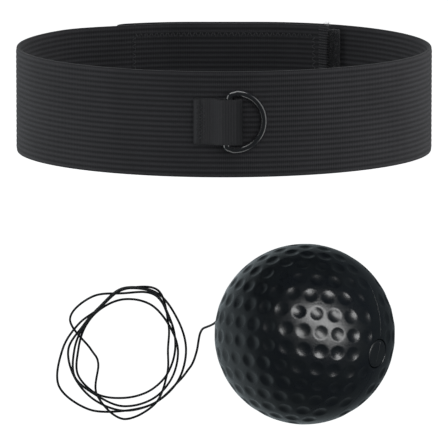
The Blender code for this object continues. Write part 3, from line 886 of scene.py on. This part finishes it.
def build_tab_stitches(material):
    """A bar of zigzag between two straight rows, sewn through the tab and the elastic."""
    reach = TAB_HALF_WIDTH - TAB_SEAM_INSET
    rows = [[(along, across) for across in np.linspace(-reach, reach, TAB_SEAM_HOLES)] for along in TAB_SEAM]
    inner = (TAB_SEAM[0] + 0.3 * MM, TAB_SEAM[1] - 0.3 * MM)
    reach -= 0.4 * MM
    rows.append([(inner[i % 2], across)
                 for i, across in enumerate(np.linspace(-reach, reach, TAB_ZIGZAG_HOLES))])
    shape = joined([stitch_row(row, on_tab) for row in rows])
    seam = piece("tab_thread", shape, material, "headband")
    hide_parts("tab_stitching")


# ---- D-ring

def build_ring(material):
    """The wire in its own plane, with its bar at 0, then leant so that its arc rests on the elastic."""
    bar_height = GAP + WEBBING_THICKNESS + WIRE_RADIUS + GAP
    bar = on_front(BAR_ALONG, bar_height, 0.0)
    depth = BAR_TO_ARC_CENTRE + ARC_RADIUS
    lean = 0.0
    for _ in range(LEAN_PASSES):
        rest = on_front(bar[0] + depth * math.cos(lean), GAP + WIRE_RADIUS, 0.0)
        lean = math.asin((bar[2] - rest[2]) / depth)
    widest = math.acos((ARC_START - BAR_TO_ARC_CENTRE) / ARC_RADIUS)
    arc = circle(np.linspace(widest, -widest, ARC_SAMPLES), ARC_RADIUS, (BAR_TO_ARC_CENTRE, 0.0))
    half_bar = math.sqrt(ARC_RADIUS ** 2 - BAR_TO_ARC_CENTRE ** 2)
    turn = np.linspace(math.pi / 2.0, math.pi, CORNER_SAMPLES)
    corner = circle(turn, RING_CORNER, (RING_CORNER, half_bar - RING_CORNER))
    straight = np.linspace(-1.0, 1.0, BAR_SAMPLES + 2)[1:-1] * (half_bar - RING_CORNER)
    bar_line = np.column_stack([np.zeros(BAR_SAMPLES), straight])
    route = np.vstack([arc, corner * (1.0, -1.0), bar_line, corner[::-1]])
    route = np.column_stack([route, np.zeros(len(route))])
    turn = Matrix.Rotation(-RING_YAW, 3, "Z") @ Matrix.Rotation(lean, 3, "Y")
    route = route @ np.array(turn).T + np.array((bar[0], RING_Y, bar[2]))
    ring = piece("wire_ring", tube(route, WIRE_RADIUS, WIRE_SIDES, closed=True), material, "ring")
    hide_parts("d_ring")


# ---- closure

def inner_face(along, across, height):
    """A place on the inside of the overlap's inner layer, this high above it."""
    depth = layer_depth(along) + ELASTIC_THICKNESS + height
    return OUTLINE.place(along, depth, LOOP_Y + across)


def outer_face(along, across, height):
    """A place on the outside of the overlap's outer layer, this far out of it."""
    return OUTLINE.place(along, -height, LOOP_Y + across)


def zigzag_round(ends):
    """Holes of a zigzag seam round a tape between these ends, from one corner all the way round."""
    low, high = ends[0] + SEAM_INSET, ends[1] - SEAM_INSET
    side = TAPE_HALF_WIDTH - ZIGZAG_INSET
    corners = [(low, -side), (high, -side), (high, side), (low, side), (low, -side)]
    holes = []
    for start, end in zip(np.array(corners), np.array(corners[1:])):
        run = unit(end - start)
        inward = np.array((-run[1], run[0])) * ZIGZAG_WIDTH / 2.0
        count = round(np.linalg.norm(end - start) / ZIGZAG_STEP)
        holes += [start + (end - start) * (i + 0.5) / count + inward * (1.0 if i % 2 else -1.0)
                  for i in range(count)]
    return [*holes, holes[0]]


def build_tapes(hook, pile):
    """Both tapes, face to face between the strip's two layers, and the pile's loops where it shows."""
    inner = TAPE_HALF_WIDTH - TAPE_EDGE
    across = np.concatenate([[-TAPE_HALF_WIDTH], np.linspace(-inner, inner, TAPE_COLUMNS), [TAPE_HALF_WIDTH]])
    ripple = TAPE_RIPPLE * np.cos(np.arange(TAPE_COLUMNS) * math.pi)
    sunk = np.concatenate([[TAPE_EDGE], ripple, [TAPE_EDGE]])
    ends = HOOK_ENDS
    shape = flat_strip(np.linspace(*ends, HOOK_STATIONS), HOOK_DEPTH, HOOK_THICKNESS, across, sunk)
    tape = piece("hook_strip", shape, hook, "headband")
    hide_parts("hook_tape")

    pile_depth = ELASTIC_THICKNESS + GAP
    ends = PILE_ENDS
    shape = flat_strip(np.linspace(*ends, PILE_STATIONS), pile_depth, LOOP_TAPE_THICKNESS, across, sunk)
    parts = [shape, *fuzz(ends[0], pile_depth + LOOP_TAPE_THICKNESS - 0.1 * MM)]
    tape = piece("pile_strip", joined(parts), pile, "headband")
    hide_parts("loop_tape")


def fuzz(end, depth):
    """Small loops of yarn that stand on the pile from this depth, from its end to the strip's."""
    random = np.random.default_rng(7)
    bend = np.linspace(0.0, math.pi, 7)
    for _ in range(FUZZ_LOOPS):
        along = end + random.uniform(-0.3 * MM, PILE_MARGIN + 0.4 * MM)
        side = random.uniform(-1.0, 1.0) * (TAPE_HALF_WIDTH - 0.4 * MM)
        turn = random.uniform(0.0, TURN)
        reach = random.uniform(*FUZZ_SPAN) * np.cos(bend)
        rise = random.uniform(*FUZZ_HEIGHT) * np.sin(bend)
        yield tube(OUTLINE.place(along + reach * math.cos(turn), depth + rise,
                                 LOOP_Y + side + reach * math.sin(turn)), FUZZ_RADIUS, 3)


def build_seams(material):
    """Zigzag seams: the hook tape's shows inside the loop, and the pile tape's is pulled into its outside."""
    shape = stitch_row(zigzag_round(HOOK_ENDS), inner_face, HOOK_SEAM_SUNK)
    seam = piece("hook_seam_thread", shape, material, "headband")
    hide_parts("hook_tape_stitching")

    shape = stitch_row(zigzag_round(PILE_ENDS), outer_face, PILE_SEAM_SUNK)
    seam = piece("pile_seam_thread", shape, material, "headband")


def overlock_route():
    """(in from the cut end, depth in the strip, across) of a thread wound over the end from edge to edge."""
    half = STRIP_HALF_WIDTH - OVERLOCK_MARGIN
    top, bottom = OVERLOCK_SUNK, ELASTIC_THICKNESS - OVERLOCK_SUNK
    middle = (top + bottom) / 2.0
    route = []
    for i in range(round(2.0 * half / OVERLOCK_PITCH)):
        reach = OVERLOCK_REACH * (1.0 + 0.05 * math.sin(i * 2.4))
        turn = ((reach, top), (reach * 0.5, top), (OVERLOCK_OUT * -0.2, top), (-OVERLOCK_OUT, middle),
                (OVERLOCK_OUT * -0.2, bottom), (reach * 0.5, bottom), (reach, bottom), (reach * 1.02, middle))
        route += [(inward, depth, (i + k / len(turn)) * OVERLOCK_PITCH - half)
                  for k, (inward, depth) in enumerate(turn)]
    return smooth_route(route, OVERLOCK_STEP)


def build_overlocks(material):
    """Thread wound over both cut ends of the strip."""
    route = overlock_route()
    for name, cut, way, node in (("inner_end_thread", STRIP_ENDS[0], 1.0, "inner_end_overlock"),
                                 ("outer_end_thread", STRIP_ENDS[1], -1.0, "outer_end_overlock")):
        along = cut + way * route[:, 0]
        depth = strip_depth(np.clip(along, *STRIP_ENDS)) + route[:, 1]
        path = OUTLINE.place(along, depth, LOOP_Y + route[:, 2])
        wound = piece(name, tube(path, THREAD_RADIUS, THREAD_SIDES), material, "headband")
        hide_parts(node)


def build_fray(material):
    """Cut thread ends at the rim of the inner end."""
    random = np.random.default_rng(11)
    rim = LOOP_Y + STRIP_HALF_WIDTH - 0.4 * MM
    share = np.linspace(0.0, 1.0, 6)
    parts = []
    for _ in range(FRAY_ENDS):
        along = STRIP_ENDS[0] + random.uniform(-0.6 * MM, 1.6 * MM)
        depth = INNER_LAYER_DEPTH + random.uniform(0.0, 1.6 * MM)
        reach = random.uniform(*FRAY_REACH)
        sway = random.uniform(-FRAY_SWAY, FRAY_SWAY, 2)
        parts.append(tube(OUTLINE.place(along + sway[0] * share ** 2, depth + sway[1] * share ** 2,
                                        rim + reach * share), FRAY_RADIUS, 4))
    fray = piece("frayed_ends", joined(parts), material, "headband")


def dress(node, material):
    """Gives a carried-over CAD piece its procedural material."""
    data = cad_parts[node].data
    data.materials.clear()
    data.materials.append(material)


# ---- camera, light and table

def build_camera():
    data = bpy.data.cameras.new("camera")
    data.lens = CAMERA_LENS
    data.sensor_width = SENSOR_WIDTH
    data.clip_start = 0.1
    data.clip_end = 50.0
    camera = bpy.data.objects.new("camera", data)
    back = Vector((0.0, math.sin(CAMERA_TILT), math.cos(CAMERA_TILT)))
    camera.location = CAMERA_TARGET + back * CAMERA_DISTANCE
    camera.rotation_euler = (-CAMERA_TILT, 0.0, 0.0)
    bpy.context.scene.collection.objects.link(camera)
    bpy.context.scene.camera = camera


def build_world():
    """A dim studio with a glow low on the left. Past the table's end the camera sees plain white."""
    world = bpy.data.worlds.new("studio")
    bpy.context.scene.world = world
    world.use_nodes = True
    nodes = Nodes(world.node_tree)
    x, y, z = nodes.split(nodes.add("TexCoord", "Generated"))
    ramp = nodes.add("ValToRGB", Fac=nodes.math("MULTIPLY_ADD", z, 0.5, 0.5))
    stops = ramp.node.color_ramp.elements
    for stop, (position, level) in zip(stops, (GLOW[0], GLOW[-1])):
        stop.position, stop.color = position, rgba(level, level, level)
    for position, level in GLOW[1:-1]:
        stops.new(position).color = rgba(level, level, level)
    side = nodes.math("MULTIPLY_ADD", y, GLOW_SIDE[1], nodes.math("MULTIPLY", x, GLOW_SIDE[0]))
    glow = nodes.math("MULTIPLY", ramp, nodes.math("POWER", nodes.math("MAXIMUM", side, 0.0), GLOW_FOCUS))
    down = nodes.math("MAXIMUM", nodes.math("MULTIPLY", z, -1.0), 0.0)
    low_side = nodes.math("MAXIMUM", nodes.math("MULTIPLY_ADD", side, 1.6, 0.5), 0.0)
    low = nodes.math("MULTIPLY", nodes.math("POWER", down, GLOW_FOCUS), nodes.math("MINIMUM", low_side, 1.0))
    glow = nodes.math("MULTIPLY_ADD", low, LOW_GLOW, glow)
    studio = nodes.add("Background", Color=rgba(0.82, 0.95, 1.0), Strength=nodes.math("ADD", glow, EVEN_GLOW))
    seen = nodes.add("MixShader", Fac=nodes.add("LightPath", "Is Camera Ray")).node
    nodes.feed(seen.inputs[1], studio)
    nodes.feed(seen.inputs[2], nodes.add("Background", Color=rgba(1.0, 1.0, 1.0)))
    nodes.feed(nodes.tree.nodes["World Output"].inputs["Surface"], seen.outputs[0])


def area_light(name, location, target, size, power, lit, shaded_by=()):
    """A soft box that lights only the named pieces. With shaded_by, only those pieces stop its light."""
    data = bpy.data.lights.new(name, "AREA")
    data.shape = "RECTANGLE"
    data.size, data.size_y = size
    data.energy = power
    light = bpy.data.objects.new(name, data)
    light.location = location
    light.rotation_euler = (Vector(target) - Vector(location)).to_track_quat("-Z", "Y").to_euler()
    bpy.context.scene.collection.objects.link(light)
    for role, names in (("receiver", lit), ("blocker", shaded_by)):
        if names:
            group = bpy.data.collections.new(f"{name}_{role}s")
            for piece_name in names:
                group.objects.link(bpy.data.objects[piece_name])
            setattr(light.light_linking, role + "_collection", group)


def build_table():
    """A plain white table that the object lies on, and that doesn't mirror in its gloss."""
    nodes = Surface("table")
    grain = nodes.noise(0.4, 2.0)
    nodes.feed(nodes.shader.inputs["Emission Color"], rgba(1.0, 1.0, 1.0))
    nodes.shader.inputs["Emission Strength"].default_value = 1.0
    nodes.finish(nodes.blend(grain, rgba(0.78, 0.78, 0.78), rgba(0.80, 0.80, 0.80)), 0.9)
    mesh = bpy.data.meshes.new("table")
    corners = [(x * TABLE_HALF, y * TABLE_HALF, 0.0) for x, y in ((-1, -1), (1, -1), (1, 1), (-1, 1))]
    mesh.from_pydata(corners, [], [(0, 1, 2, 3)])
    mesh.materials.append(nodes.material)
    table = bpy.data.objects.new("table", mesh)
    table.visible_glossy = False
    bpy.context.scene.collection.objects.link(table)


def build_lights():
    """Soft boxes, each for its own pieces: (place, target, size, power in watts, pieces lit)."""
    ball = ("foam_ball_skin", "foam_plug", "mould_line")
    elastic = ("woven_elastic", "frayed_ends", "inner_end_thread", "hook_seam_thread", "pile_strip")
    cloth = (*elastic, "hook_strip")
    tab = ("folded_webbing", "tab_thread")
    ring = ("wire_ring",)
    area_light("soft_box", (0.539, 0.525, 1.163), BALL_CENTRE, (1.60, 0.60), 31.0, ball)
    area_light("top_light", (0.30, 0.48, 1.55), (0.0, 0.05, 0.10), (1.8, 1.8), 12.5, cloth)
    area_light("tab_light", (-0.55, 0.35, 1.40), (0.0, 0.06, 0.15), (0.8, 0.8), 10.5, tab)
    area_light("left_light", (-1.1, 0.25, 0.24), (0.0, 0.04, 0.07), (0.8, 0.4), 5.2, elastic)
    area_light("right_light", (1.1, 0.25, 0.24), (0.0, 0.04, 0.07), (0.8, 0.4), 5.8, elastic)
    for name, x, y, power in (("left", -1.0, 0.0, 6.5), ("right", 1.0, 0.0, 5.0),
                              ("back", 0.0, 1.0, 9.0), ("front", 0.0, -1.0, 3.4)):
        place = (RING_LIGHT_DISTANCE * x, LOOP_Y + RING_LIGHT_DISTANCE * y, RING_LIGHT_HEIGHT)
        area_light("ring_" + name, place, (0.0, LOOP_Y, 0.15), (1.3, 0.50), power, ring, ring)
    bpy.context.scene.view_settings.view_transform = "Standard"


build_table()
build_camera()
build_world()
build_elastic(elastic_material())
build_tapes(hook_material(), pile_material())
seam_thread = thread_material("seam_thread", rgba(0.016, 0.016, 0.018), rgba(0.036, 0.036, 0.040), 0.62)
build_seams(seam_thread)
build_overlocks(seam_thread)
build_fray(thread_material("frayed_thread", rgba(0.10, 0.10, 0.10), rgba(0.30, 0.30, 0.30), 0.8))
build_tab(webbing_material())
build_tab_stitches(seam_thread)
build_ring(enamel_material())
skin = skin_material("ball_skin", 0.00007, 0.33)
build_ball(skin)
build_plug(skin_material("plug_skin", 0.00006, 0.44))
build_mould_line(skin)
build_cord(cord_material())
dress("knot_washer", nylon_material())
hidden_cover = hidden_cord_material()
dress("cord_knot", hidden_cover)
dress("cord_in_ball", hidden_cover)
build_lights()
